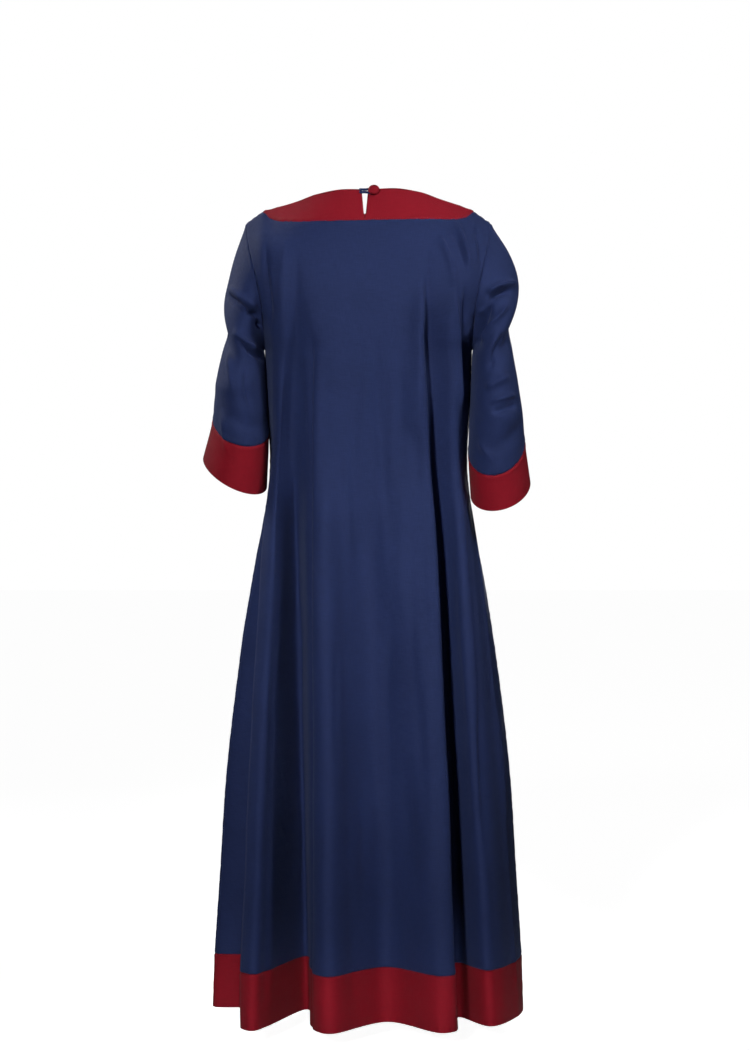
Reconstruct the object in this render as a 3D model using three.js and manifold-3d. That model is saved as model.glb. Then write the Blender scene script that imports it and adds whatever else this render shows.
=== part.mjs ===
// A floor-length medieval gown, worn and hollow. Its body and wide sleeves are navy cloth, and its neck
// band, cuffs and hem band are deep red.
// Millimetres, +Z up. The front faces -Y and the back +Y, and the wearer's left is +X.
// The origin is midway between the shoulders, where the wearer holds the gown up.
import * as THREE from 'three';
import { mergeVertices } from 'three/addons/utils/BufferGeometryUtils.js';
import Module from 'manifold-3d';

const wasm = await Module();
wasm.setup();

// Cloth and seams
const CLOTH = 1.5;
const SEAM_GAP = 0.3;
const MOST_PULL = 3;
const SAME_POINT = 0.01;

// A table with named columns: each row is an object that holds the columns and its own name
function table(columns, rows) {
  return Object.entries(rows).map(([name, values]) => {
    const row = { name };
    columns.forEach((column, index) => { row[column] = values[index]; });
    return row;
  });
}

// Body, one row for each level from the neck seam down. The edge columns give the armhole, and below the
// underarm the side seam. back and front give the depth of the smooth form at the middle, before its folds.
const LEVEL_COLUMNS = [
  'back', 'backZ', 'front', 'frontZ', 'edgeX', 'edgeBack', 'edgeFront', 'edgeZ', 'square',
];
const LEVELS = table(LEVEL_COLUMNS, {
  'neck seam': [85, -21, -98, -106, 205, 5, 5, -18, 2.3],
  'across back': [104, -72, -112, -138, 201, 52, -38, -56, 2.3],
  'blade top': [115, -115, -121, -168, 191, 79, -63, -98, 2.3],
  'blade': [120, -152, -127, -196, 182, 85, -70, -138, 2.4],
  'below blade': [120, -192, -130, -222, 176, 65, -58, -181, 2.5],
  'arm curve': [118, -222, -131, -241, 174.5, 34, -38, -214, 2.7],
  'underarm': [116, -246, -131, -256, 174, -4, -4, -232, 2.9],
  'ribs': [110, -330, -123, -332, 171, -20, -20, -326, 2.9],
  'waist': [106, -430, -116, -430, 166.5, -22, -22, -430, 2.6],
  'high hip': [111, -530, -118, -530, 178, -16, -16, -530, 2.4],
  'hip': [122, -640, -126, -640, 198, -6, -6, -640, 2.3],
  'thigh': [141, -790, -143, -790, 220, 0, 0, -790, 2.3],
  'knee': [157, -950, -161, -950, 238, 0, 0, -950, 2.3],
  'calf': [168, -1110, -178, -1110, 248, 0, 0, -1110, 2.3],
  'hem seam': [175, -1251, -193, -1251, 257, 0, 0, -1251, 2.3],
  'hem': [178, -1341, -200, -1341, 260, 0, 0, -1341, 2.3],
});
const UNDERARM = 6;
const WAIST = 8;
const HEM_SEAM = 14;
const HEM = 15;
const EDGE_DROP = 3;

// Folds of the back, from the wearer's left to the right: the x of each line at the neck, waist and hem,
// how far it stands off the smooth form at the waist, and its y at the hem. The first and the last line
// start at the neck points.
const FOLD_COLUMNS = ['topX', 'waistX', 'hemX', 'waistOff', 'hemY'];
const BACK_FOLDS = table(FOLD_COLUMNS, {
  'left neck point and tuck': [178, 163.5, 197, -10, 14],
  'left lobe edge': [160, 162, 205, 4, 190],
  'left lobe crest': [142, 150, 187, 5, 218],
  'left valley': [122, 126, 103, -34, 24],
  'left middle edge': [98, 96, 89, 1, 200],
  'left middle crest': [64, 72, 62, 4, 243],
  'middle hollow': [8, 14, -32, -3, 138],
  'right middle crest': [-70, -82, -118, 6, 236],
  'right middle edge': [-91, -99, -141, 6, 216],
  'right valley': [-104, -107, -150, -40, 96],
  'right lobe': [-144, -147, -199, 7, 178],
  'right neck point': [-178, -163, -244, -6, 96],
});
const FRONT_FOLDS = table(FOLD_COLUMNS, {
  'left neck point': [178, 162, 240, 1, -92],
  'left lobe': [140, 146, 190, 3, -202],
  'left valley': [104, 116, 140, -6, -104],
  'left middle crest': [62, 74, 76, 3, -232],
  'middle hollow': [8, 6, 18, -2, -146],
  'right middle crest': [-52, -62, -52, 4, -238],
  'right valley': [-98, -108, -112, -8, -112],
  'right lobe': [-140, -144, -178, 4, -210],
  'right neck point': [-178, -162, -238, 1, -96],
});
const FOLD_START = 2;
const FOLD_GROWTH = 0.65;
const FOLD_SPREAD = 0.78;

// Neck seam and neck edge, from the middle out to the neck point on the shoulder
const NECK_POINT_X = 178;
const NECK_SEAM = {
  back: table(['x', 'y', 'z'], {
    'middle': [0, 85, -21],
    'beside the middle': [60, 83, -21],
    'side of the neck': [112, 71, -20],
    'curve': [146, 51, -18],
    'near the point': [165, 31, -12],
    'neck point': [NECK_POINT_X, 12, 0],
  }),
  front: table(['x', 'y', 'z'], {
    'middle': [0, -98, -106],
    'beside the middle': [60, -95, -101],
    'side of the neck': [108, -80, -84],
    'curve': [146, -48, -52],
    'near the point': [168, -12, -17],
    'neck point': [NECK_POINT_X, 12, 0],
  }),
};
const NECK_EDGE_X = 173;
const NECK_EDGE = {
  back: table(['x', 'y', 'z'], {
    'middle': [0, 58, 33],
    'beside the middle': [48, 55, 34],
    'side of the neck': [90, 44, 27.5],
    'curve': [120, 33, 17.5],
    'near the point': [154, 20, 9],
    'neck point': [NECK_EDGE_X, 12, 4],
  }),
  front: table(['x', 'y', 'z'], {
    'middle': [0, -79, -52],
    'beside the middle': [50, -76, -47],
    'side of the neck': [98, -60, -31],
    'curve': [136, -32, -13],
    'near the point': [160, -7, -1],
    'neck point': [NECK_EDGE_X, 12, 4],
  }),
};
const BAND_TILT = 0.022;

// Keyhole slit at the centre back, open at the top. Its foot is a share of the band's depth from the top.
const SLIT = { x: 6, topWidth: 11, footWidth: 3, foot: 0.82, over: 8 };
const BAND_CELLS = 5;

// Covered button on a shank, and the cord loop that runs from the slit's far side round the shank. The
// dome's rows are shares of the button's radius and of the dome's height.
const BUTTON = {
  x: -9.5,
  down: 0.085,
  radius: 9.5,
  shankRadius: 2.4,
  shankHeight: 3.6,
  domeHeight: 5.6,
  sides: 18,
};
const DOME = table(['out', 'up'], {
  'under the rim': [0.9, 0],
  'rim': [1, 0.16],
  'above the rim': [0.97, 0.38],
  'shoulder': [0.8, 0.72],
  'crown': [0.48, 0.94],
  'top': [0, 1],
});
const LOOP = {
  halfWidth: 2.6, halfThickness: 1.25, reach: 15, legSpread: 2.8, turnRadius: 5.3,
  turnSteps: 6, sides: 10, steps: 30,
};

// Sleeves, one row for each ring down the arm. x is measured outward from the gown's middle.
const RING_COLUMNS = ['x', 'y', 'z', 'halfWidth', 'halfDepth', 'tiltOut', 'tiltBack'];
const CREASE_COLUMNS = ['around', 'along', 'spread', 'width', 'slope', 'height'];
const CAP_SHARE = 0.42;
const UNDERARM_ARCH = { out: 1.6, up: 4, sharpness: 6 };
const SLEEVES = {
  left: {
    side: 1,
    capBulge: 11,
    capRise: 0,
    rings: table(RING_COLUMNS, {
      'upper arm': [209.5, 5, -222, 33.8, 88, 20, 8],
      'above elbow': [213.2, 14, -285, 42, 89, 15, 14],
      'elbow': [214.6, 18, -328, 45.4, 87, 14, 19],
      'cuff seam': [214.9, 16, -362, 48.2, 84, 15, 23],
      'cuff edge': [225.5, -2, -438, 58.8, 84, 25, 20],
    }),
    creases: table(CREASE_COLUMNS, {
      'cap puff': [20, 1.55, 75, 0.28, 0.004, 6],
      'under the puff': [45, 2.1, 70, 0.25, 0.004, -6],
      'back pull': [80, 2.9, 60, 0.3, -0.006, 5],
      'elbow bend': [95, 4.0, 60, 0.35, 0.004, -5],
    }),
  },
  right: {
    side: -1,
    capBulge: 25,
    capRise: 8,
    rings: table(RING_COLUMNS, {
      'upper arm': [208.8, 5, -222, 33.5, 88, 20, 8],
      'above elbow': [211.6, 14, -292, 40.2, 89, 13, 16],
      'elbow': [214.3, 18, -348, 45.4, 88, 13, 25],
      'cuff seam': [216, 12, -398, 48.5, 86, 14, 32],
      'cuff edge': [223.3, -6, -466, 51.5, 84, 14, 25],
    }),
    creases: table(CREASE_COLUMNS, {
      'cap puff': [35, 1.5, 80, 0.28, 0.005, 7],
      'under the puff': [50, 2.05, 75, 0.24, 0.005, -8],
      'elbow ridge': [70, 3.5, 55, 0.3, -0.006, 6],
      'elbow bend': [80, 4.15, 60, 0.3, 0.003, -6],
    }),
  },
};
const SLEEVE_SEAM = 5;
const SLEEVE_END = 6;

// Grid lines shared by the pieces that meet
const ARMHOLE_ROWS = [0, 0.5, 1, 1.5, 2, 3, 4, 4.5, 5, 5.5, 6];
const SKIRT_STEP = 0.5;
const HEM_ROWS = [HEM_SEAM, 14.5, HEM];
const SLEEVE_ROWS = [0, 0.4, 0.8, 1.2, 1.6, 2, 2.35, 2.7, 3, 3.35, 3.7, 4, 4.35, 4.7, SLEEVE_SEAM];
const CUFF_ROWS = [SLEEVE_SEAM, 5.5, SLEEVE_END];
const COLUMN_LENGTH = { back: 31, front: 36 };
const SHOULDER_CELLS = 2;

const NAVY = new THREE.MeshStandardMaterial({ color: 0x1f2747, roughness: 0.85, metalness: 0 });
const RED = new THREE.MeshStandardMaterial({ color: 0x7c1422, roughness: 0.8, metalness: 0 });

// A smooth value between the rows of a table, at a place counted in rows
function smooth(rows, column, place) {
  const at = (row) => rows[Math.min(Math.max(row, 0), rows.length - 1)][column];
  const row = Math.min(Math.floor(place), rows.length - 2);
  const part = place - row;
  const [a, b, c, d] = [at(row - 1), at(row), at(row + 1), at(row + 2)];
  const pull = (c - a) / 2;
  const next = (d - b) / 2;
  const square = part * part;
  const cube = square * part;
  return (
    b * (2 * cube - 3 * square + 1) +
    pull * (cube - 2 * square + part) +
    c * (3 * square - 2 * cube) +
    next * (cube - square)
  );
}

// The point of a neck line at a given x, from its table for one half
function neckLine(rows, x) {
  const out = Math.abs(x);
  let row = 0;
  while (row < rows.length - 2 && rows[row + 1].x < out) row += 1;
  const place = row + (out - rows[row].x) / (rows[row + 1].x - rows[row].x);
  const tilt = BAND_TILT * x * (1 - (x / NECK_POINT_X) ** 4);
  return new THREE.Vector3(x, smooth(rows, 'y', place), smooth(rows, 'z', place) - tilt);
}

// The smooth form of the body at a level and an x
function formPoint(face, level, x) {
  const row = LEVELS[level];
  if (level === 0) return neckLine(NECK_SEAM[face], x);
  const edgeY = face === 'back' ? row.edgeBack : row.edgeFront;
  const middleZ = face === 'back' ? row.backZ : row.frontZ;
  const share = Math.min(Math.abs(x) / row.edgeX, 1);
  const bow = (1 - share ** row.square) ** (1 / row.square);
  const y = edgeY + (row[face] - edgeY) * bow;
  const z = middleZ + (row.edgeZ - middleZ) * share ** EDGE_DROP;
  return new THREE.Vector3(x, y, z);
}

// How far down the gown a level is, from 0 at one level to 1 at another, by height
function fallShare(level, from, to) {
  const height = (row) => LEVELS[row].backZ;
  return THREE.MathUtils.clamp((height(from) - height(level)) / (height(from) - height(to)), 0, 1);
}

// Above the waist a fold keeps its share of the width, and below it falls straight
function foldPoint(face, fold, level) {
  const toWaist = fallShare(level, 0, WAIST);
  const toHem = fallShare(level, WAIST, HEM);
  const topShare = fold.topX / LEVELS[0].edgeX;
  const waistShare = fold.waistX / LEVELS[WAIST].edgeX;
  const x = level <= WAIST
    ? LEVELS[level].edgeX * THREE.MathUtils.lerp(topShare, waistShare, toWaist)
    : THREE.MathUtils.lerp(fold.waistX, fold.hemX, toHem ** FOLD_SPREAD);
  const point = formPoint(face, level, x);
  const outward = face === 'back' ? 1 : -1;
  const atWaist = outward * fold.waistOff * fallShare(level, FOLD_START, WAIST);
  const hemOff = fold.hemY - formPoint(face, HEM, fold.hemX).y;
  point.y += THREE.MathUtils.lerp(atWaist, hemOff, toHem ** FOLD_GROWTH);
  return point;
}

function edgePoint(face, side, level) {
  const row = LEVELS[level];
  return new THREE.Vector3(side * row.edgeX, face === 'back' ? row.edgeBack : row.edgeFront, row.edgeZ);
}

function countTo(last) {
  return Array.from({ length: last + 1 }, (unused, index) => index);
}

// A panel's edge: half of the armhole's loop, then the side seam
function edgeLine(face, side) {
  const back = countTo(UNDERARM).map((level) => edgePoint('back', side, level));
  const front = countTo(UNDERARM).map((level) => edgePoint('front', side, level));
  const loop = new THREE.CatmullRomCurve3([...back, ...front.slice(1, -1).reverse()], true, 'centripetal');
  const seamLevels = countTo(HEM).filter((level) => level >= UNDERARM);
  const seamPoints = seamLevels.map((level) => edgePoint('back', side, level));
  const seam = new THREE.CatmullRomCurve3(seamPoints, false, 'centripetal');
  return (level) => {
    const turn = level / (2 * UNDERARM);
    if (level < UNDERARM) return loop.getPoint(face === 'back' ? turn : 1 - turn);
    return seam.getPoint((level - UNDERARM) / (HEM - UNDERARM));
  };
}

function foldLine(face, fold) {
  const points = countTo(HEM).map((level) => foldPoint(face, fold, level));
  const curve = new THREE.CatmullRomCurve3(points, false, 'centripetal');
  return (level) => curve.getPoint(level / HEM);
}

// The lines that run down a panel: an edge, its folds, and the other edge
function panelLines(face, folds) {
  return [edgeLine(face, 1), ...folds.map((fold) => foldLine(face, fold)), edgeLine(face, -1)];
}

const LINES = { back: panelLines('back', BACK_FOLDS), front: panelLines('front', FRONT_FOLDS) };

// The top of a panel: straight along each shoulder seam, and along the neck seam between the neck points
function topRow(face) {
  const own = LINES[face].map((line) => line(0));
  const last = own.length - 1;
  return (place) => {
    const line = Math.min(Math.floor(place), last - 1);
    const point = own[line].clone().lerp(own[line + 1], place - line);
    const onShoulder = place < 1 || place > last - 1;
    return onShoulder ? point : neckLine(NECK_SEAM[face], point.x);
  };
}

// A row of a panel at a level: a curve through its lines, which runs on round the side seam below the arm
function panelRow(face, level) {
  if (level === 0) return topRow(face);
  const other = face === 'back' ? 'front' : 'back';
  const own = LINES[face].map((line) => line(level));
  const far = LINES[other].map((line) => line(level));
  const last = own.length - 1;
  const joined = THREE.MathUtils.smoothstep(level, UNDERARM - 2, UNDERARM + 1);
  const past = (edge, inner, beyond) => edge.clone().multiplyScalar(2).sub(inner).lerp(beyond, joined);
  const points = [
    past(own[0], own[1], far[1]),
    ...own,
    past(own[last], own[last - 1], far[far.length - 2]),
  ];
  const curve = new THREE.CatmullRomCurve3(points, false, 'centripetal');
  return (place) => curve.getPoint((place + 1) / (points.length - 1));
}

// Places across a panel, closer where its folds make the hem longer
function panelColumns(face) {
  const row = panelRow(face, HEM_SEAM);
  const last = LINES[face].length - 1;
  const places = [];
  for (let line = 0; line < last; line += 1) {
    const length = row(line).distanceTo(row(line + 0.5)) + row(line + 0.5).distanceTo(row(line + 1));
    const shoulder = line === 0 || line === last - 1;
    const cells = shoulder ? SHOULDER_CELLS : Math.max(2, Math.round(length / COLUMN_LENGTH[face]));
    for (let cell = 0; cell < cells; cell += 1) places.push(line + cell / cells);
  }
  places.push(last);
  return places;
}

const COLUMNS = { back: panelColumns('back'), front: panelColumns('front') };

function skirtRows() {
  const rows = [...ARMHOLE_ROWS];
  for (let level = UNDERARM + SKIRT_STEP; level <= HEM_SEAM; level += SKIRT_STEP) rows.push(level);
  return rows;
}

// A panel's grid of points, its rows down the piece and its columns across it
function panelGrid(face, levels) {
  return levels.map((level) => COLUMNS[face].map(panelRow(face, level)));
}

// The neck band's grid, from its neck edge down to the seam
function bandGrid(face) {
  const seam = panelRow(face, 0);
  const last = LINES[face].length - 1;
  const places = COLUMNS[face].filter((place) => place >= 1 && place <= last - 1);
  const rows = [];
  for (let step = 0; step <= BAND_CELLS; step += 1) {
    const down = step / BAND_CELLS;
    rows.push(places.map((place) => bandPoint(face, seam(place), down)));
  }
  return rows;
}

function bandPoint(face, foot, down) {
  const head = neckLine(NECK_EDGE[face], (foot.x * NECK_EDGE_X) / NECK_POINT_X);
  return head.lerp(foot, down);
}

// The armhole's loop of points, from the shoulder down the back, round the underarm and up the front
function armholeLoop(side) {
  const end = side > 0 ? 0 : 1;
  const edge = (face) => ARMHOLE_ROWS.map((level) => panelRow(face, level)(end * (LINES[face].length - 1)));
  return [...edge('back'), ...edge('front').reverse().slice(1, -1)];
}

function ringPoint(ring, side, angle) {
  const out = THREE.MathUtils.degToRad(ring.tiltOut);
  const back = THREE.MathUtils.degToRad(ring.tiltBack);
  const across = ring.halfWidth * Math.cos(angle);
  const deep = ring.halfDepth * Math.sin(angle);
  return new THREE.Vector3(
    side * (ring.x + across * Math.cos(out)),
    ring.y + deep * Math.cos(back),
    ring.z + across * Math.sin(out) - deep * Math.sin(back),
  );
}

// A line down the sleeve from one point of the armhole, through the cap and each ring
function sleeveLine(sleeve, start, angle) {
  const first = ringPoint(sleeve.rings[0], sleeve.side, angle);
  const cap = start.clone().lerp(first, CAP_SHARE);
  const over = Math.cos(angle / 2) ** 2;
  const under = Math.sin(angle / 2) ** UNDERARM_ARCH.sharpness;
  cap.x += sleeve.side * (sleeve.capBulge * over + UNDERARM_ARCH.out * under);
  cap.z += sleeve.capRise * over + UNDERARM_ARCH.up * under;
  const rest = sleeve.rings.map((ring) => ringPoint(ring, sleeve.side, angle));
  return new THREE.CatmullRomCurve3([start, cap, ...rest], false, 'centripetal');
}

// How far the sleeve's creases lift a point. around is in degrees from the outside of the arm to its back.
function creaseHeight(sleeve, around, along) {
  let height = 0;
  for (const crease of sleeve.creases) {
    const turn = THREE.MathUtils.euclideanModulo(around - crease.around + 180, 360) - 180;
    const off = along - crease.along - crease.slope * turn;
    height += crease.height * Math.exp(-((turn / crease.spread) ** 2) - (off / crease.width) ** 2);
  }
  return height;
}

function sleeveGrid(sleeve, rows) {
  const loop = armholeLoop(sleeve.side);
  const lines = loop.map((start, index) => {
    const angle = (2 * Math.PI * index) / loop.length;
    return { angle, curve: sleeveLine(sleeve, start, angle) };
  });
  return rows.map((along) => lines.map(({ angle, curve }) => {
    const point = curve.getPoint(along / SLEEVE_END);
    const lift = creaseHeight(sleeve, THREE.MathUtils.radToDeg(angle), along);
    point.x += sleeve.side * lift * Math.cos(angle);
    point.y += lift * Math.sin(angle);
    return point;
  }));
}

// Every piece of cloth. flip turns the grid's normal outward, and wraps joins its last column to the first.
const cloth = [
  { name: 'back_panel', material: NAVY, grid: panelGrid('back', skirtRows()), flip: true },
  { name: 'front_panel', material: NAVY, grid: panelGrid('front', skirtRows()), flip: false },
  { name: 'hem_band_back', material: RED, grid: panelGrid('back', HEM_ROWS), flip: true },
  { name: 'hem_band_front', material: RED, grid: panelGrid('front', HEM_ROWS), flip: false },
  { name: 'neck_band_back', material: RED, grid: bandGrid('back'), flip: true },
  { name: 'neck_band_front', material: RED, grid: bandGrid('front'), flip: false },
];
for (const [name, sleeve] of Object.entries(SLEEVES)) {
  const tube = { flip: sleeve.side > 0, wraps: true };
  cloth.push({ name: `sleeve_${name}`, material: NAVY, grid: sleeveGrid(sleeve, SLEEVE_ROWS), ...tube });
  cloth.push({ name: `cuff_${name}`, material: RED, grid: sleeveGrid(sleeve, CUFF_ROWS), ...tube });
}

function normalAt(piece, row, column) {
  const { grid, wraps, flip } = piece;
  const lastRow = grid.length - 1;
  const count = grid[0].length;
  const at = (r, c) => grid[Math.min(Math.max(r, 0), lastRow)][
    wraps ? THREE.MathUtils.euclideanModulo(c, count) : Math.min(Math.max(c, 0), count - 1)
  ];
  const down = at(row + 1, column).clone().sub(at(row - 1, column));
  const across = at(row, column + 1).clone().sub(at(row, column - 1));
  const normal = across.cross(down).normalize();
  return flip ? normal.negate() : normal;
}

function pointKey(point) {
  return point.toArray().map((value) => Math.round(value / SAME_POINT)).join(' ');
}

// Where pieces share a point their walls are mitred on the mean of their normals
const jointNormals = new Map();
for (const piece of cloth) {
  piece.grid.forEach((points, row) => points.forEach((point, column) => {
    const key = pointKey(point);
    const sum = jointNormals.get(key) ?? new THREE.Vector3();
    jointNormals.set(key, sum.add(normalAt(piece, row, column)));
  }));
}

function jointNormal(point) {
  return jointNormals.get(pointKey(point)).clone().normalize();
}

// Draws the edges of a piece in by half a seam's gap, measured from the plane of the mitre
function drawnIn(piece, row, column) {
  const { grid, wraps } = piece;
  const lastRow = grid.length - 1;
  const count = grid[0].length;
  const start = grid[row][column];
  const normal = jointNormal(start);
  const point = start.clone();
  const pull = (target, before, after) => {
    const along = after.clone().sub(before).normalize();
    const mitre = along.clone().cross(normal).normalize();
    const inward = target.clone().sub(start);
    inward.addScaledVector(along, -inward.dot(along)).normalize();
    const length = SEAM_GAP / 2 / Math.max(Math.abs(inward.dot(mitre)), 1 / MOST_PULL);
    point.addScaledVector(inward, length);
  };
  const beside = (step) => {
    const next = column + step;
    const { clamp, euclideanModulo } = THREE.MathUtils;
    return grid[row][wraps ? euclideanModulo(next, count) : clamp(next, 0, count - 1)];
  };
  const above = grid[Math.max(row - 1, 0)][column];
  const below = grid[Math.min(row + 1, lastRow)][column];
  if (row === 0) pull(below, beside(-1), beside(1));
  if (row === lastRow) pull(above, beside(-1), beside(1));
  if (!wraps && column === 0) pull(beside(1), above, below);
  if (!wraps && column === count - 1) pull(beside(-1), above, below);
  return point;
}

// Turns a grid into a closed wall of cloth: an outer and an inner layer, joined along every open edge
function wallGeometry(piece) {
  const { grid, wraps, flip } = piece;
  const columns = grid[0].length;
  const cellColumns = wraps ? columns : columns - 1;
  const cellRows = grid.length - 1;
  const positions = [];
  const layers = [1, -1].map((layer) => grid.map((points, row) => points.map((point, column) => {
    const place = drawnIn(piece, row, column).addScaledVector(jointNormal(point), (layer * CLOTH) / 2);
    positions.push(...place.toArray());
    return positions.length / 3 - 1;
  })));
  const triangles = [];
  const quad = (a, b, c, d) => (flip ? triangles.push(a, b, c, a, c, d) : triangles.push(a, c, b, a, d, c));
  const [outer, inner] = layers;
  for (let row = 0; row < cellRows; row += 1) {
    for (let column = 0; column < cellColumns; column += 1) {
      const next = (column + 1) % columns;
      const corner = (layer) => {
        const [upper, lower] = [layer[row], layer[row + 1]];
        return [upper[column], lower[column], lower[next], upper[next]];
      };
      const [a, b, c, d] = corner(outer);
      const [e, f, g, h] = corner(inner);
      quad(a, b, c, d);
      quad(e, h, g, f);
      if (row === 0) quad(a, d, h, e);
      if (row === cellRows - 1) quad(b, f, g, c);
      if (!wraps && column === 0) quad(a, e, f, b);
      if (!wraps && column === cellColumns - 1) quad(d, c, g, h);
    }
  }
  const geometry = new THREE.BufferGeometry();
  geometry.setAttribute('position', new THREE.Float32BufferAttribute(positions, 3));
  geometry.setIndex(triangles);
  geometry.computeVertexNormals();
  return geometry;
}

function solidOf(geometry) {
  const bare = geometry.clone();
  bare.deleteAttribute('normal');
  bare.deleteAttribute('uv');
  const merged = mergeVertices(bare);
  return new wasm.Manifold(new wasm.Mesh({
    numProp: 3,
    vertProperties: new Float32Array(merged.attributes.position.array),
    triVerts: new Uint32Array(merged.index.array),
  }));
}

function geometryOf(solid) {
  const mesh = solid.getMesh();
  const geometry = new THREE.BufferGeometry();
  geometry.setAttribute('position', new THREE.Float32BufferAttribute(mesh.vertProperties, 3));
  geometry.setIndex([...mesh.triVerts]);
  geometry.computeVertexNormals();
  return geometry;
}

// A frame on the outer face of the back neck band, a share of its depth from the top
function onBand(x, down) {
  const foot = neckLine(NECK_SEAM.back, x);
  const head = neckLine(NECK_EDGE.back, (x * NECK_EDGE_X) / NECK_POINT_X);
  const up = head.clone().sub(foot);
  const across = new THREE.Vector3(1, 0, 0);
  const out = up.clone().cross(across).normalize();
  const point = head.lerp(foot, down).addScaledVector(out, CLOTH / 2 + SEAM_GAP);
  return { point, across, up: up.normalize(), out };
}

// The wedge that the slit leaves, cut straight through the band from behind
function slitGeometry() {
  const head = onBand(SLIT.x, 0).point;
  const foot = onBand(SLIT.x, SLIT.foot).point;
  const half = { top: SLIT.topWidth / 2, foot: SLIT.footWidth / 2 };
  const outline = new THREE.Shape();
  outline.moveTo(SLIT.x - half.top, head.z + SLIT.over);
  outline.lineTo(SLIT.x - half.foot, foot.z + half.foot);
  outline.absarc(SLIT.x, foot.z + half.foot, half.foot, Math.PI, 2 * Math.PI, false);
  outline.lineTo(SLIT.x + half.top, head.z + SLIT.over);
  const depth = foot.y - head.y + 4 * SLIT.over;
  const wedge = new THREE.ExtrudeGeometry(outline, { depth, bevelEnabled: false, curveSegments: 6 });
  wedge.rotateX(Math.PI / 2);
  wedge.translate(0, foot.y + 2 * SLIT.over, 0);
  return wedge;
}

function buttonGeometry() {
  const { radius, shankRadius, shankHeight, domeHeight, sides } = BUTTON;
  const profile = [
    new THREE.Vector2(0, 0),
    new THREE.Vector2(shankRadius, 0),
    new THREE.Vector2(shankRadius, shankHeight),
    ...DOME.map((row) => new THREE.Vector2(radius * row.out, shankHeight + domeHeight * row.up)),
  ];
  return new THREE.LatheGeometry(profile, sides);
}

// The loop's flat cord: along one leg, round the shank and back, lying on the band
function loopGeometry(frame) {
  const { halfWidth, halfThickness, reach, legSpread, turnRadius, turnSteps, sides, steps } = LOOP;
  const place = (right, up) => frame.point.clone()
    .addScaledVector(frame.across, right)
    .addScaledVector(frame.up, up)
    .addScaledVector(frame.out, halfThickness);
  const start = reach - BUTTON.x;
  const turn = countTo(turnSteps).map((step) => Math.PI / 2 + (Math.PI * step) / turnSteps);
  const path = new THREE.CatmullRomCurve3([
    place(start, legSpread),
    place(start / 2, legSpread),
    ...turn.map((angle) => place(turnRadius * Math.cos(angle), turnRadius * Math.sin(angle))),
    place(start / 2, -legSpread),
    place(start, -legSpread),
  ], false, 'centripetal');
  const points = [];
  const triangles = [];
  for (const step of countTo(steps)) {
    const middle = path.getPoint(step / steps);
    const beside = path.getTangent(step / steps).cross(frame.out).normalize();
    for (const side of countTo(sides - 1)) {
      const angle = (2 * Math.PI * side) / sides;
      const point = middle.clone()
        .addScaledVector(beside, halfWidth * Math.cos(angle))
        .addScaledVector(frame.out, halfThickness * Math.sin(angle));
      points.push(...point.toArray());
    }
  }
  for (const step of countTo(steps - 1)) {
    for (const side of countTo(sides - 1)) {
      const next = (side + 1) % sides;
      const [a, b, c, d] = [side, next, next + sides, side + sides].map((corner) => corner + step * sides);
      triangles.push(a, c, b, a, d, c);
    }
  }
  const last = steps * sides;
  for (const side of countTo(sides - 3)) {
    triangles.push(0, side + 1, side + 2);
    triangles.push(last, last + side + 2, last + side + 1);
  }
  const geometry = new THREE.BufferGeometry();
  geometry.setAttribute('position', new THREE.Float32BufferAttribute(points, 3));
  geometry.setIndex(triangles);
  geometry.computeVertexNormals();
  return geometry;
}

function named(name, geometry, material) {
  const mesh = new THREE.Mesh(geometry, material);
  mesh.name = name;
  return mesh;
}

const gown = new THREE.Group();
gown.name = 'medieval gown';

for (const piece of cloth) {
  gown.add(named(piece.name, wallGeometry(piece), piece.material));
}

const slitBand = gown.getObjectByName('neck_band_back');
slitBand.geometry = geometryOf(solidOf(slitBand.geometry).subtract(solidOf(slitGeometry())));

const buttonFrame = onBand(BUTTON.x, BUTTON.down);
const button = named('button', buttonGeometry(), RED);
button.position.copy(buttonFrame.point);
button.quaternion.setFromUnitVectors(new THREE.Vector3(0, 1, 0), buttonFrame.out);
gown.add(button);
gown.add(named('button_loop', loopGeometry(buttonFrame), NAVY));

export default gown;
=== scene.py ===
# A floor-length medieval gown, dressed over its solid model: navy cotton body and wide elbow-length sleeves,
# with a deep red neck band, cuffs and hem band. It keeps the hollow form of a general figure. Sizes are in
# millimetres and turn into metres where a mesh is made. The front faces -Y, the back +Y, and the wearer's
# left is +X.
import math
import bpy
import numpy as np
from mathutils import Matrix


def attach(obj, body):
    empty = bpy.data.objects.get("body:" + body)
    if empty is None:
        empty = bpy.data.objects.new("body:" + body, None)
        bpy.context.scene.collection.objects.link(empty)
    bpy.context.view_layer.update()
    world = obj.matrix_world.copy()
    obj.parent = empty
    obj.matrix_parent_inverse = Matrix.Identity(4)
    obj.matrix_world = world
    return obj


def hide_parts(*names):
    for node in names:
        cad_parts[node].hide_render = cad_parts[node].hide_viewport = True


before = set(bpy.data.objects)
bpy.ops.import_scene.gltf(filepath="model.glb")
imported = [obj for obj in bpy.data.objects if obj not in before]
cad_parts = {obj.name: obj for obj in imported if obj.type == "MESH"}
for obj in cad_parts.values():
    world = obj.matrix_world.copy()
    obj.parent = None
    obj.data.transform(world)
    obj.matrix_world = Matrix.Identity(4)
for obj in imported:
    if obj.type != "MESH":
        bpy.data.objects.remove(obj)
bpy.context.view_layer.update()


# The body of the gown: a back and a front panel of navy cotton, flared from the neck seam to the hem and sewn
# at the shoulders and sides. The red hem band is sewn on below them and carries the same folds on, so each
# face of the body is worked out from the neck to the hem in one go.
LEVEL_COLUMNS = (
    "back", "back_z", "front", "front_z", "edge_x", "edge_back", "edge_front", "edge_z", "square",
)
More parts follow.
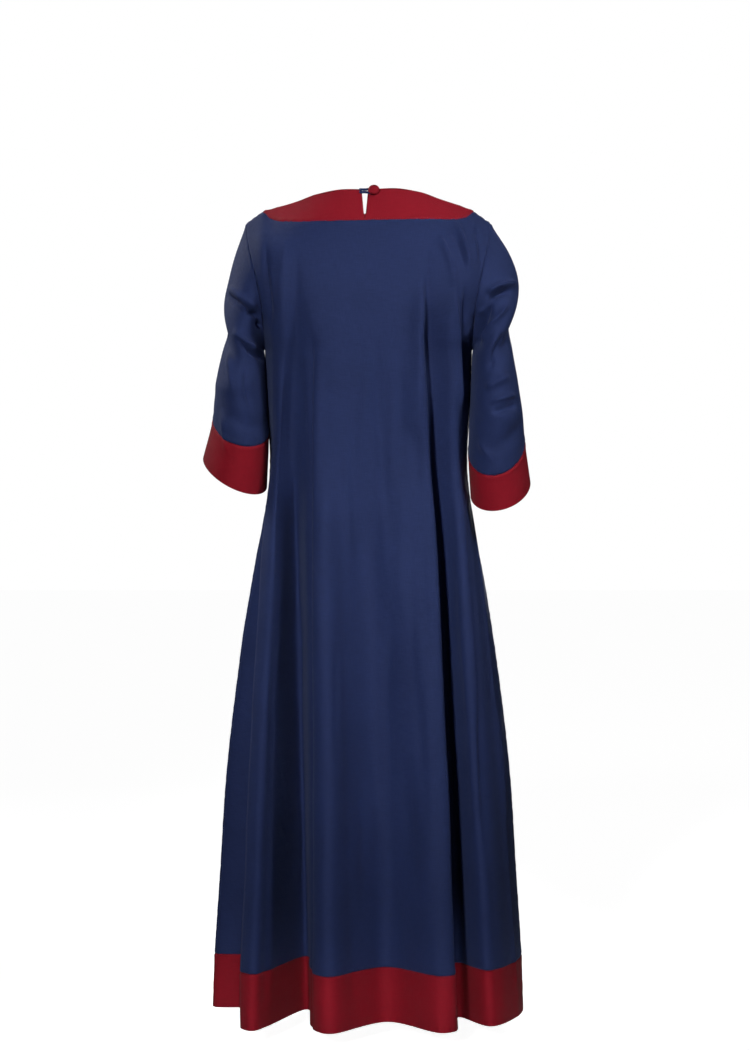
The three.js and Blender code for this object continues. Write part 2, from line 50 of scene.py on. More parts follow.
LEVELS = np.array(
    [
        (85, -21, -98, -106, 205, 5, 5, -18, 2.3),  # neck seam
        (104, -72, -112, -138, 201, 52, -38, -56, 2.3),  # across back
        (115, -115, -121, -168, 191, 79, -63, -98, 2.3),  # blade top
        (120, -152, -127, -196, 182, 85, -70, -138, 2.4),  # blade
        (120, -192, -130, -222, 176, 65, -58, -181, 2.5),  # below blade
        (118, -222, -131, -241, 174.5, 34, -38, -214, 2.7),  # arm curve
        (116, -246, -131, -256, 174, -4, -4, -232, 2.9),  # underarm
        (110, -330, -123, -332, 171, -20, -20, -326, 2.9),  # ribs
        (106, -430, -116, -430, 166.5, -22, -22, -430, 2.6),  # waist
        (111, -530, -118, -530, 178, -16, -16, -530, 2.4),  # high hip
        (122, -640, -126, -640, 198, -6, -6, -640, 2.3),  # hip
        (141, -790, -143, -790, 220, 0, 0, -790, 2.3),  # thigh
        (157, -950, -161, -950, 238, 0, 0, -950, 2.3),  # knee
        (168, -1110, -178, -1110, 248, 0, 0, -1110, 2.3),  # calf
        (175, -1251, -193, -1251, 257, 0, 0, -1251, 2.3),  # hem seam
        (178, -1341, -200, -1341, 260, 0, 0, -1341, 2.3),  # hem
    ],
    dtype=[(column, float) for column in LEVEL_COLUMNS],
)
UNDERARM, WAIST, HEM_SEAM, HEM = 6, 8, 14, 15
EDGE_DROP = 3

# Folds from the wearer's left to the right: x at the neck, waist and hem, stand-off at the waist, y at the
# hem
FOLDS = {
    "back": [
        (178, 163.5, 197, -10, 14),  # left neck point and tuck
        (160, 162, 205, 4, 190),  # left lobe edge
        (142, 150, 187, 5, 218),  # left lobe crest
        (122, 126, 103, -34, 24),  # left valley
        (98, 96, 89, 1, 200),  # left middle edge
        (64, 72, 62, 4, 243),  # left middle crest
        (8, 14, -32, -3, 138),  # middle hollow
        (-70, -82, -118, 6, 236),  # right middle crest
        (-91, -99, -141, 6, 216),  # right middle edge
        (-104, -107, -150, -40, 96),  # right valley
        (-144, -147, -199, 7, 178),  # right lobe
        (-178, -163, -244, -6, 96),  # right neck point
    ],
    "front": [
        (178, 162, 240, 1, -92),  # left neck point
        (140, 146, 190, 3, -202),  # left lobe
        (104, 116, 140, -6, -104),  # left valley
        (62, 74, 76, 3, -232),  # left middle crest
        (8, 6, 18, -2, -146),  # middle hollow
        (-52, -62, -52, 4, -238),  # right middle crest
        (-98, -108, -112, -8, -112),  # right valley
        (-140, -144, -178, 4, -210),  # right lobe
        (-178, -162, -238, 1, -96),  # right neck point
    ],
}
MIDDLE_LINE = {"back": 7, "front": 5}
FOLD_START = 2
FOLD_GROWTH = 0.65
FOLD_SPREAD = 0.78

# Neck seam from the middle out to the neck point on the shoulder, as x, y and z
NECK_SEAM = {
    "back": [(0, 85, -21), (60, 83, -21), (112, 71, -20), (146, 51, -18), (165, 31, -12), (178, 12, 0)],
    "front": [
        (0, -98, -106), (60, -95, -101), (108, -80, -84), (146, -48, -52), (168, -12, -17), (178, 12, 0),
    ],
}
BAND_TILT = 0.022
NECK_POINT_X = 178
OUTWARD = {"back": 1, "front": -1}


def smoothstep(low, high, value):
    share = np.clip((value - low) / (high - low), 0, 1)
    return share * share * (3 - 2 * share)


def through(points, places, closed=False):
    """Points of a smooth curve that runs through the given ones, at places counted in points."""
    points = np.asarray(points, float)
    places = np.atleast_1d(np.asarray(places, float))
    count = len(points)
    if closed:
        ring = np.concatenate([points[-1:], points, points[:2]])
        places = np.mod(places, count)
        step = np.minimum(np.floor(places).astype(int), count - 1)
    else:
        ring = np.concatenate([[2 * points[0] - points[1]], points, [2 * points[-1] - points[-2]]])
        step = np.clip(np.floor(places).astype(int), 0, count - 2)
    part = (places - step)[:, None]
    a, b, c, d = (ring[step + shift] for shift in range(4))
    gaps = [np.sqrt(np.linalg.norm(q - p, axis=1))[:, None] for p, q in ((a, b), (b, c), (c, d))]
    near, own, far = (np.maximum(gap, 0.01) for gap in gaps)
    leave = own * ((b - a) / near - (c - a) / (near + own) + (c - b) / own)
    arrive = own * ((c - b) / own - (d - b) / (own + far) + (d - c) / far)
    square = part * part
    cube = square * part
    bend = (3 * (c - b) - 2 * leave - arrive) * square
    return b + leave * part + bend + (2 * (b - c) + leave + arrive) * cube


def neck_line(rows, x):
    """A neck line at each x, from its table for one half."""
    rows = np.asarray(rows, float)
    x = np.atleast_1d(np.asarray(x, float))
    out = np.abs(x)
    row = np.clip(np.searchsorted(rows[:, 0], out) - 1, 0, len(rows) - 2)
    part = ((out - rows[row, 0]) / (rows[row + 1, 0] - rows[row, 0]))[:, None]
    at = lambda shift: rows[np.clip(row + shift, 0, len(rows) - 1), 1:]
    before, here, there, after = (at(shift) for shift in (-1, 0, 1, 2))
    square = part * part
    cube = square * part
    y_z = here * (2 * cube - 3 * square + 1) + (there - before) / 2 * (cube - 2 * square + part)
    y_z += there * (3 * square - 2 * cube) + (after - here) / 2 * (cube - square)
    tilt = BAND_TILT * x * (1 - (x / NECK_POINT_X) ** 4)
    return np.column_stack([x, y_z[:, 0], y_z[:, 1] - tilt])


def form_point(face, level, x):
    """The smooth form of the body at a level, without its folds."""
    if level == 0:
        return neck_line(NECK_SEAM[face], x)[0]
    row = LEVELS[level]
    share = min(abs(x) / row["edge_x"], 1)
    bow = (1 - share ** row["square"]) ** (1 / row["square"])
    edge_y = row["edge_" + face]
    middle_z = row[face + "_z"]
    y = edge_y + (row[face] - edge_y) * bow
    z = middle_z + (row["edge_z"] - middle_z) * share**EDGE_DROP
    return np.array([x, y, z])


def fall_share(level, first, last):
    heights = LEVELS["back_z"]
    return float(np.clip((heights[first] - heights[level]) / (heights[first] - heights[last]), 0, 1))


def fold_point(face, fold, level):
    """Above the waist a fold keeps its share of the width, and below it falls straight."""
    top_x, waist_x, hem_x, waist_off, hem_y = fold
    to_waist = fall_share(level, 0, WAIST)
    to_hem = fall_share(level, WAIST, HEM)
    top_share = top_x / LEVELS["edge_x"][0]
    waist_share = waist_x / LEVELS["edge_x"][WAIST]
    x = waist_x + (hem_x - waist_x) * to_hem**FOLD_SPREAD
    if level <= WAIST:
        x = LEVELS["edge_x"][level] * (top_share + (waist_share - top_share) * to_waist)
    point = form_point(face, level, x)
    at_waist = OUTWARD[face] * waist_off * fall_share(level, FOLD_START, WAIST)
    hem_off = hem_y - form_point(face, HEM, hem_x)[1]
    point[1] += at_waist + (hem_off - at_waist) * to_hem**FOLD_GROWTH
    return point


def edge_points(face, side, levels):
    rows = LEVELS[list(levels)]
    return np.column_stack([side * rows["edge_x"], rows["edge_" + face], rows["edge_z"]])


def armhole_loop(side):
    """The armhole's own points: down the back, round the underarm and up the front."""
    back = edge_points("back", side, range(UNDERARM + 1))
    front = edge_points("front", side, range(UNDERARM - 1, 0, -1))
    return np.concatenate([back, front])


def edge_line(face, side, levels):
    """A panel's edge: half of the armhole's loop, then the side seam."""
    levels = np.asarray(levels, float)
    turn = levels if face == "back" else 2 * UNDERARM - levels
    loop = through(armhole_loop(side), np.where(levels < UNDERARM, turn, UNDERARM), closed=True)
    seam = through(edge_points("back", side, range(UNDERARM, HEM + 1)), np.maximum(levels - UNDERARM, 0))
    return np.where((levels < UNDERARM)[:, None], loop, seam)


def panel_lines(face, levels):
    """The lines that run down a panel, at the given levels: an edge, its folds, and the other edge."""
    folds = [[fold_point(face, fold, level) for level in range(HEM + 1)] for fold in FOLDS[face]]
    inner = [through(fold, levels) for fold in folds]
    return np.array([edge_line(face, 1, levels), *inner, edge_line(face, -1, levels)])


def top_row(face, own, places):
    """Straight along each shoulder seam, and along the neck seam between the neck points."""
    last = len(own) - 1
    line = np.minimum(np.floor(places).astype(int), last - 1)
    part = (places - line)[:, None]
    straight = own[line] * (1 - part) + own[line + 1] * part
    on_shoulder = ((places < 1) | (places > last - 1))[:, None]
    return np.where(on_shoulder, straight, neck_line(NECK_SEAM[face], straight[:, 0]))


TOP_BLEND = 0.5


def body_rows(face, levels, places):
    """The body's points, its rows down the face and its columns across it."""
    levels = np.asarray(levels, float)
    places = np.asarray(places, float)
    own = panel_lines(face, levels)
    far = panel_lines("front" if face == "back" else "back", levels)
    neck = top_row(face, panel_lines(face, [0.0])[:, 0], places)
    joined = smoothstep(UNDERARM - 2, UNDERARM + 1, levels)
    rows = []
    for row, level in enumerate(levels):
        past = [
            2 * own[edge, row] + (far[beyond, row] - 2 * own[edge, row] + own[inner, row]) * joined[row]
            - own[inner, row]
            for edge, inner, beyond in ((0, 1, 1), (-1, -2, -2))
        ]
        line = through([past[0], *own[:, row], past[1]], places + 1)
        share = smoothstep(0, TOP_BLEND, level)
        rows.append(neck + (line - neck) * share)
    return np.array(rows)


def lengths_down(points):
    """How far each point lies down its column."""
    steps = np.linalg.norm(np.diff(points, axis=0), axis=2)
    return np.concatenate([np.zeros((1, points.shape[1])), np.cumsum(steps, axis=0)])


def lengths_across(points):
    steps = np.linalg.norm(np.diff(points, axis=1), axis=2)
    return np.concatenate([np.zeros((points.shape[0], 1)), np.cumsum(steps, axis=1)], axis=1)


def surface_normals(points, wraps, flip):
    """Unit normals of a grid, pointing out of the garment."""
    if wraps:
        across = np.roll(points, -1, axis=1) - np.roll(points, 1, axis=1)
    else:
        across = np.gradient(points, axis=1)
    normals = np.cross(across, np.gradient(points, axis=0))
    normals /= np.maximum(np.linalg.norm(normals, axis=2, keepdims=True), 1e-9)
    return -normals if flip else normals


def crease_heights(creases, x, z):
    """The height of soft ridges and troughs, each on a bowed line seen from the front or back."""
    height = np.zeros_like(x)
    for x0, z0, x1, z1, bow, to_left, to_right, lift, fade_in, fade_out in creases:
        length = math.hypot(x1 - x0, z1 - z0)
        run_x, run_z = (x1 - x0) / length, (z1 - z0) / length
        down = ((x - x0) * run_x + (z - z0) * run_z) / length
        off = (z - z0) * run_x - (x - x0) * run_z - bow * 4 * down * (1 - down)
        width = np.where(off > 0, to_left, to_right)
        fade = smoothstep(0, fade_in, down) * smoothstep(0, fade_out, 1 - down)
        height += lift * fade * np.exp(-(np.abs(off / width) ** 1.6))
    return height


STREAKS = {"back": (11, 60), "front": (23, 60)}
STREAK_RANGES = {
    "x": (-200, 200), "z": (-1000, -120), "long": (140, 420), "side": (5, 17), "lift": (1.6, 4.6),
}


def soft_streaks(seed, count):
    """Faint extra folds that hang almost straight down, uneven in every size."""
    draw = np.random.default_rng(seed)
    streaks = []
    for _ in range(count):
        x0, z0 = draw.uniform(*STREAK_RANGES["x"]), draw.uniform(*STREAK_RANGES["z"])
        long = draw.uniform(*STREAK_RANGES["long"])
        lean = draw.uniform(-0.05, 0.05) + 0.00022 * x0
        sides = draw.uniform(*STREAK_RANGES["side"], 2)
        lift = draw.uniform(*STREAK_RANGES["lift"]) * draw.choice([-1, 1])
        streaks.append((x0, z0, x0 + lean * long, z0 - long, draw.uniform(-4, 4), *sides, lift, 0.4, 0.4))
    return streaks


SEAM_FINE = np.array([0, 0.7, 1.5, 2.5, 4, 6.2])
SEAM_GROOVE = {"depth": 1.0, "width": 1.4}
SEAM_SWELL = {"height": 0.55, "off": 5, "width": 3.5}
SEAM_FADE = {"body": 14, "sleeve": 12}
PUCKERS = {"pitches": (13, 19, 31, 47), "height": 0.16, "fade": 9}


def fine_ends(length, step):
    """Distances along a piece, closer beside its seams."""
    end = length - SEAM_FINE[::-1]
    count = max(int(round((end[0] - SEAM_FINE[-1]) / step)), 1)
    middle = np.linspace(SEAM_FINE[-1], end[0], count + 1)[1:-1]
    return np.concatenate([SEAM_FINE, middle, end])


def seam_shape(distance):
    """A seam's groove, and the slight swelling of the turned edges that lie under it."""
    groove = -SEAM_GROOVE["depth"] * np.exp(-((distance / SEAM_GROOVE["width"]) ** 2))
    swell = np.exp(-(((distance - SEAM_SWELL["off"]) / SEAM_SWELL["width"]) ** 2))
    return groove + SEAM_SWELL["height"] * swell


def puckers(distance, along, seed):
    """Small uneven puckers that a seam's thread draws up, fading within a few millimetres of it."""
    draw = np.random.default_rng(seed)
    wave = np.zeros_like(along)
    for pitch in PUCKERS["pitches"]:
        wave += np.sin(along / (pitch * draw.uniform(0.9, 1.1)) * 2 * np.pi + draw.uniform(0, 6))
    return PUCKERS["height"] * wave * np.exp(-((distance / PUCKERS["fade"]) ** 2))


SKIN = 0.75
BODY_STEP = {"down": 6.2, "across": 7.2}


def body_levels(face, first, last, step):
    """Levels of the rows between two levels, evenly spaced by height and closer beside the seams."""
    heights = -LEVELS[face + "_z"]
    drop = heights - heights[0]
    distances = fine_ends(drop[last] - drop[first], step) + drop[first]
    return np.interp(distances, drop, np.arange(len(drop)))


def body_places(face):
    """Places of the columns, evenly spaced along the hem and closer beside the side seams."""
    last = len(FOLDS[face]) + 1
    places = np.linspace(0, last, 40 * last + 1)
    length = lengths_across(body_rows(face, [HEM_SEAM], places))[0]
    return np.interp(fine_ends(length[-1], BODY_STEP["across"]), length, places)


# Creases of the body that the folds don't carry: x and z at the start and end, bow, width to the wearer's
# left and right, height, and the shares over which it fades in and out
BODY_CREASES = {
    "back": [
        # Drag folds that fan from the neck band's right end
        (-114, -44, -147, -150, -7, 7.6, 4.2, 7.2, 0.2, 0.3),
        (-143, -130, -152, -350, 1, 7.6, 4.2, 9.8, 0.2, 0.2),
        (-160, -120, -162, -300, 0, 4.2, 6.8, -11.2, 0.3, 0.3),
        (-146, -22, -170, -118, -4, 5.1, 3.4, 6.8, 0.1, 0.4),
        (-136, -30, -160, -110, -5, 4.2, 4.2, -5.4, 0.15, 0.4),
        (-180, -30, -188, -116, -3, 4.2, 4.2, -5.8, 0.1, 0.4),
        (-90, -110, -86, -400, 3, 11.9, 6, 9, 0.3, 0.3),
        (-100, -50, -98, -300, 3, 6.8, 6.8, -3.6, 0.3, 0.4),
        # Soft folds from the band's left end
        (170, -50, 160, -205, 2, 5.1, 6, -7.2, 0.3, 0.3),
        (138, -46, 141, -230, 2, 8.5, 7.6, 4.9, 0.3, 0.4),
        (118, -60, 122, -300, 0, 7.6, 8.5, -3.6, 0.3, 0.4),
        # Small of the back, and the long fall below it
        (-9, -330, -23, -530, 3, 5.1, 6.8, 4.1, 0.3, 0.4),
        (-26, -350, -34, -560, 2, 6, 6, -3.3, 0.3, 0.4),
        (24, -300, 34, -620, 0, 11.9, 8.5, 3.6, 0.4, 0.4),
        (-56, -420, -66, -760, 2, 10.2, 7.6, 3.6, 0.4, 0.4),
        (-214, -780, -231, -1060, 2, 6.8, 5.1, 4.5, 0.4, 0.4),
    ],
    "front": [
        (150, -60, 138, -260, 3, 5.1, 7.6, 6.8, 0.15, 0.4),
        (130, -80, 124, -330, 2, 6.8, 6, -5.4, 0.2, 0.4),
        (-146, -62, -140, -250, -2, 6.8, 5.1, 6.8, 0.15, 0.4),
        (-126, -84, -118, -350, -3, 6, 7.6, -5.8, 0.2, 0.4),
        (88, -96, 80, -420, 2, 8.5, 7.6, 4.5, 0.2, 0.5),
        (-84, -98, -76, -380, -2, 8.5, 6.8, 4.9, 0.2, 0.5),
        (30, -118, 36, -460, 2, 7.6, 9.3, -3.3, 0.3, 0.5),
        (-24, -120, -30, -520, 1, 9.3, 7.6, 3.2, 0.3, 0.5),
        (168, -190, 120, -290, 5, 6.8, 6, 5.4, 0.2, 0.5),
        (-168, -186, -122, -300, -5, 6, 6.8, 5.4, 0.2, 0.5),
        (206, -760, 222, -1080, 2, 7.6, 6, 4.9, 0.4, 0.4),
        (-200, -700, -214, -1010, -2, 6.8, 7.6, 4.5, 0.4, 0.4),
    ],
}
# Sharp edges and deep lines that follow the folds: place across, levels where it starts and ends, width to
# the wearer's left and right, and height
FOLD_EDGES = {
    "back": [
        (2.0, 7, 15, 4, 16, 6.0),  # left lobe's outer edge
        (3.25, 7, 15, 16, 10, -3.0),  # hollow beside it
        (4.9, 4, 15, 14, 14, -10.0),  # left valley's deep line
        (5.04, 5, 15, 4, 30, 4.5),  # left middle edge
        (6.45, 7, 15, 18, 24, -3.0),
        (7.35, 8, 14, 16, 20, 2.6),
        (8.1, 8, 15, 20, 14, -2.0),
        (8.9, 2, 15, 15, 5, 7.5),  # right middle edge
        (9.4, 3, 15, 12, 14, -12.0),  # right valley's deep line
        (10.9, 2.5, 13, 15, 7, 7.0),  # right lobe's far edge
        (11.3, 8, 15, 16, 12, -2.4),
        (12.1, 8, 15, 8, 14, 2.6),
    ],
    "front": [
        (1.6, 7, 15, 8, 20, 3.0),
        (2.9, 6, 15, 12, 7, -4.0),
        (3.7, 6, 15, 6, 22, 3.5),
        (4.9, 8, 15, 16, 18, -2.4),
        (6.2, 6, 15, 22, 6, 3.5),
        (6.9, 6, 15, 7, 12, -4.0),
        (8.3, 7, 15, 18, 8, 3.0),
    ],
}


def edge_heights(edges, levels, places, across):
    """The height of the folds' sharp edges, which fade in over two levels of the body."""
    height = np.zeros_like(across)
    for place, first, last, to_left, to_right, lift in edges:
        line = np.array([np.interp(place, places, row) for row in across])
        off = across - line[:, None]
        width = np.where(off < 0, to_left, to_right)
        fade = smoothstep(first, first + 2, levels) * smoothstep(-0.5, 1, last - levels)
        height += lift * fade[:, None] * np.exp(-(np.abs(off / width) ** 1.5))
    return height


def body_surface(face, levels, places, sewn_below):
    """The outer surface of one face of the body: its folds, creases and seams."""
    points = body_rows(face, levels, places)
    normals = surface_normals(points, False, face == "back")
    x, z = points[:, :, 0], points[:, :, 2]
    heights = crease_heights(BODY_CREASES[face] + soft_streaks(*STREAKS[face]), x, z)
    across = lengths_across(points)
    down = lengths_down(points)
    heights += edge_heights(FOLD_EDGES[face], levels, places, across)
    to_side = np.minimum(across, across[:, -1:] - across)
    near_seam = to_side.copy()
    if levels[0] < HEM_SEAM:
        near_seam = np.minimum(near_seam, down)
    heights *= smoothstep(0, SEAM_FADE["body"], near_seam)
    heights += seam_shape(to_side) + puckers(to_side, down, 3)
    heights += seam_shape(down) + puckers(down, across, 5)
    if sewn_below:
        heights += seam_shape(down[-1:] - down) + puckers(down[-1:] - down, across, 5)
    return points + normals * (SKIN + heights)[:, :, None]


def thread_map(points, middle):
    """Thread directions in metres: across from the piece's middle column, and down it."""
    across = lengths_across(points)
    down = np.broadcast_to(lengths_down(points)[:, middle : middle + 1], across.shape)
    return np.dstack([across - across[:, middle : middle + 1], -down]) / 1000


def new_object(name, data):
    made = bpy.data.objects.new(name, data)
    bpy.context.collection.objects.link(made)
    return made


def cloth_object(name, points, threads, flip, wraps=False, gap=None):
    """A mesh of a grid of points in millimetres, with its threads as the UV map. gap leaves cells out."""
    rows, columns = points.shape[:2]
    cell_columns = columns if wraps else columns - 1
    r, c = np.meshgrid(np.arange(rows - 1), np.arange(cell_columns), indexing="ij")
    keep = np.ones(r.shape, bool) if gap is None else ~gap
    r, c = r[keep], c[keep]
    after = c + 1
    corners = [(r, c), (r + 1, c), (r + 1, after), (r, after)]
    if not flip:
        corners.reverse()
    faces = np.stack([row * columns + column % columns for row, column in corners], axis=1)
    uv = np.stack([threads[row, column] for row, column in corners], axis=1)
    mesh = bpy.data.meshes.new(name)
    mesh.from_pydata((points.reshape(-1, 3) / 1000).tolist(), [], faces.tolist())
    layer = mesh.uv_layers.new(name="threads")
    layer.data.foreach_set("uv", uv.reshape(-1))
    mesh.polygons.foreach_set("use_smooth", [True] * len(mesh.polygons))
    mesh.update()
    return new_object(name, mesh)


def body_cloth(name, face, span, step, sewn_below):
    """One piece of the body between two levels, and its outer surface."""
    places = body_places(face)
    outer = body_surface(face, body_levels(face, *span, step), places, sewn_below)
    middle = int(np.argmin(np.abs(places - MIDDLE_LINE[face])))
    return cloth_object(name, outer, thread_map(outer, middle), flip=face == "back"), outer


def thicken(piece, material, cloth_mm):
    """Gives a piece its cloth, and the cloth's thickness inwards from its outer face."""
    piece.data.materials.append(material)
    wall = piece.modifiers.new("cloth", "SOLIDIFY")
    wall.thickness = cloth_mm / 1000
    wall.offset = -1
    wall.use_even_offset = False
    return piece


def node(tree, kind, place, **values):
    made = tree.nodes.new(kind)
    made.location = place
    for key, value in values.items():
        setattr(made, key, value)
    return made


def math_node(tree, operation, first, second=None, place=(0, 0)):
    made = node(tree, "ShaderNodeMath", place, operation=operation)
    for slot, value in enumerate((first, second)):
        if value is None:
            continue
        if hasattr(value, "links"):
            tree.links.new(value, made.inputs[slot])
        else:
            made.inputs[slot].default_value = value
    return made.outputs[0]


def new_material(name):
    material = bpy.data.materials.new(name)
    material.use_nodes = True
    return material, material.node_tree, material.node_tree.nodes["Principled BSDF"]


def noise_node(tree, vector, scale, detail, place):
    noise = node(tree, "ShaderNodeTexNoise", place, noise_dimensions="2D")
    noise.inputs["Scale"].default_value = scale
    noise.inputs["Detail"].default_value = detail
    tree.links.new(vector, noise.inputs["Vector"])
    return noise


def bump_node(tree, height, distance, place):
    bump = node(tree, "ShaderNodeBump", place)
    bump.inputs["Strength"].default_value = 0.5
    bump.inputs["Distance"].default_value = distance
    tree.links.new(height, bump.inputs["Height"])
    return bump


# The cloth's marks: sizes are shares a metre of thread, shades are shares of the colour, heights are in
# metres
SLUBS = {"warp": (1150, 55, 1), "weft": (50, 950, 1), "detail": 2}
PATCHES = {"size": 9, "detail": 3, "shade": 0.28}
CRUMPLE = {"size": 42, "detail": 4, "roughness": 0.55, "height": 0.0022}
WEAVE = {"shade": 0.07, "height": 0.00014}


def woven_cloth(name, colour, thread_mm, slub, roughness, sheen, sheen_tint):
    """Plain-woven cotton: threads over and under, thick and thin places in them, and soft handling marks."""
    material, tree, shader = new_material(name)
    shader.inputs["Roughness"].default_value = roughness
    shader.inputs["Specular IOR Level"].default_value = 0.08
    shader.inputs["Sheen Weight"].default_value = sheen
    shader.inputs["Sheen Roughness"].default_value = 0.45
    shader.inputs["Sheen Tint"].default_value = (*sheen_tint, 1)
    threads = node(tree, "ShaderNodeUVMap", (-1500, 0), uv_map="threads").outputs[0]
    parts = node(tree, "ShaderNodeSeparateXYZ", (-1300, 0))
    tree.links.new(threads, parts.inputs[0])
    turn = math.pi / (thread_mm / 1000)
    waves = []
    for part, height in ((0, 200), (1, 0)):
        turned = math_node(tree, "MULTIPLY", parts.outputs[part], turn, (-1100, height))
        waves.append(math_node(tree, "SINE", turned, place=(-900, height)))
    weave = math_node(tree, "MULTIPLY", *waves, (-700, 100))
    slubs = []
    for way, height in (("warp", -300), ("weft", -600)):
        stretch = node(tree, "ShaderNodeMapping", (-1100, height))
        stretch.inputs["Scale"].default_value = SLUBS[way]
        tree.links.new(threads, stretch.inputs["Vector"])
        noise = noise_node(tree, stretch.outputs[0], 1, SLUBS["detail"], (-900, height))
        slubs.append(noise.outputs["Fac"])
    slub_sum = math_node(tree, "ADD", *slubs, (-700, -400))
    cloud = noise_node(tree, threads, PATCHES["size"], PATCHES["detail"], (-900, -900))
    off_slub = math_node(tree, "SUBTRACT", slub_sum, 1, (-500, -400))
    shade = math_node(tree, "MULTIPLY", off_slub, slub, (-300, -400))
    off_patch = math_node(tree, "SUBTRACT", cloud.outputs["Fac"], 0.5, (-700, -900))
    patch = math_node(tree, "MULTIPLY", off_patch, PATCHES["shade"], (-500, -900))
    weave_shade = math_node(tree, "MULTIPLY", weave, WEAVE["shade"], (-500, 100))
    marks = math_node(tree, "ADD", shade, patch, (-300, -700))
    level = math_node(tree, "ADD", marks, weave_shade, (-100, -500))
    value = math_node(tree, "ADD", level, 1, (0, -500))
    tone = node(tree, "ShaderNodeHueSaturation", (100, -200))
    tone.inputs["Color"].default_value = (*colour, 1)
    tree.links.new(value, tone.inputs["Value"])
    tree.links.new(tone.outputs[0], shader.inputs["Base Color"])
    crumple = noise_node(tree, threads, CRUMPLE["size"], CRUMPLE["detail"], (-900, -1200))
    crumple.inputs["Roughness"].default_value = CRUMPLE["roughness"]
    handled = bump_node(tree, crumple.outputs["Fac"], CRUMPLE["height"], (-100, -1000))
    thread_height = math_node(tree, "ADD", weave, slub_sum, (-300, 100))
    bump = bump_node(tree, thread_height, WEAVE["height"], (100, -800))
    tree.links.new(handled.outputs[0], bump.inputs["Normal"])
    tree.links.new(bump.outputs[0], shader.inputs["Normal"])
    return material


navy_cotton = woven_cloth(
    "navy cotton", colour=(0.0128, 0.0210, 0.071), thread_mm=0.55, slub=0.34, roughness=0.72, sheen=0.05,
    sheen_tint=(0.45, 0.55, 1.0),
)

PANEL_CLOTH = 1.2
for face in ("back", "front"):
    panel, _ = body_cloth(f"{face}_panel_cloth", face, (0, HEM_SEAM), BODY_STEP["down"], sewn_below=True)
    thicken(panel, navy_cotton, PANEL_CLOTH)
    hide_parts(f"{face}_panel")
    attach(panel, "root")


# Hem bands: deep red cotton, 90 mm deep and double, one sewn to the foot of each panel. They swing with its
# folds.
HEM_CLOTH = 2.0
HEM_BAND_STEP = 5
STITCH_OFF = 2.4
red_cotton = woven_cloth(
    "deep red cotton", colour=(0.185, 0.0052, 0.0125), thread_mm=0.5, slub=0.26, roughness=0.75, sheen=0.03,
    sheen_tint=(1.0, 0.5, 0.5),
)


def stitch_line(points, from_foot=False, closed=False):
    """A line on an outer surface, a little way below its top edge or above its foot."""
    down = lengths_down(points)
    if from_foot:
        down = down[-1:] - down
        points, down = points[::-1], down[::-1]
    line = []
    for column in range(points.shape[1]):
        line.append([np.interp(STITCH_OFF, down[:, column], points[:, column, axis]) for axis in range(3)])
    return line + line[:1] if closed else line


STITCH_LINES = {}
for face in ("back", "front"):
    name = f"hem_band_{face}_cloth"
    band, outer = body_cloth(name, face, (HEM_SEAM, HEM), HEM_BAND_STEP, sewn_below=False)
    thicken(band, red_cotton, HEM_CLOTH)
    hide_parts(f"hem_band_{face}")
    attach(band, "root")
    STITCH_LINES[f"hem_{face}"] = stitch_line(outer)


# Sleeves and cuffs: wide tubes of navy cotton set into the armholes, each with an 80 mm cuff of red cotton
# turned double. The cap stands up a little, and the cloth breaks into folds where the arm bends.
RING_COLUMNS = ("x", "y", "z", "half_width", "half_depth", "tilt_out", "tilt_back")
SLEEVES = {
    "left": {
        "side": 1,
        "cap_bulge": 11,
        "cap_rise": 0,
        "rings": [
            (209.5, 5, -222, 33.8, 88, 20, 8),  # upper arm
            (213.2, 14, -285, 42, 89, 15, 14),  # above elbow
            (214.6, 18, -328, 45.4, 87, 14, 19),  # elbow
            (214.9, 16, -362, 48.2, 84, 15, 23),  # cuff seam
            (225.5, -2, -438, 58.8, 84, 25, 20),  # cuff edge
        ],
        # Round the arm in degrees, rows down the sleeve, spread, width, slope and height
        "puffs": [
            (20, 1.55, 75, 0.28, 0.004, 6),  # cap puff
            (45, 2.1, 70, 0.25, 0.004, -6),  # under the puff
            (80, 2.9, 60, 0.3, -0.006, 5),  # back pull
            (95, 4.0, 60, 0.35, 0.004, -5),  # elbow bend
            (180, 2.3, 45, 0.4, 0, 1.7),  # under the arm
        ],
    },
    "right": {
        "side": -1,
        "cap_bulge": 25,
        "cap_rise": 8,
        "rings": [
            (208.8, 5, -222, 33.5, 88, 20, 8),  # upper arm
            (211.6, 14, -292, 40.2, 89, 13, 16),  # above elbow
            (214.3, 18, -348, 45.4, 88, 13, 25),  # elbow
            (216, 12, -398, 48.5, 86, 14, 32),  # cuff seam
            (223.3, -6, -466, 51.5, 84, 14, 25),  # cuff edge
        ],
        "puffs": [
            (35, 1.5, 80, 0.28, 0.005, 7),  # cap puff
            (50, 2.05, 75, 0.24, 0.005, -8),  # under the puff
            (70, 3.5, 55, 0.3, -0.006, 6),  # elbow ridge
            (80, 4.15, 60, 0.3, 0.003, -6),  # elbow bend
            (180, 2.3, 45, 0.4, 0, 1.2),  # under the arm
        ],
    },
}
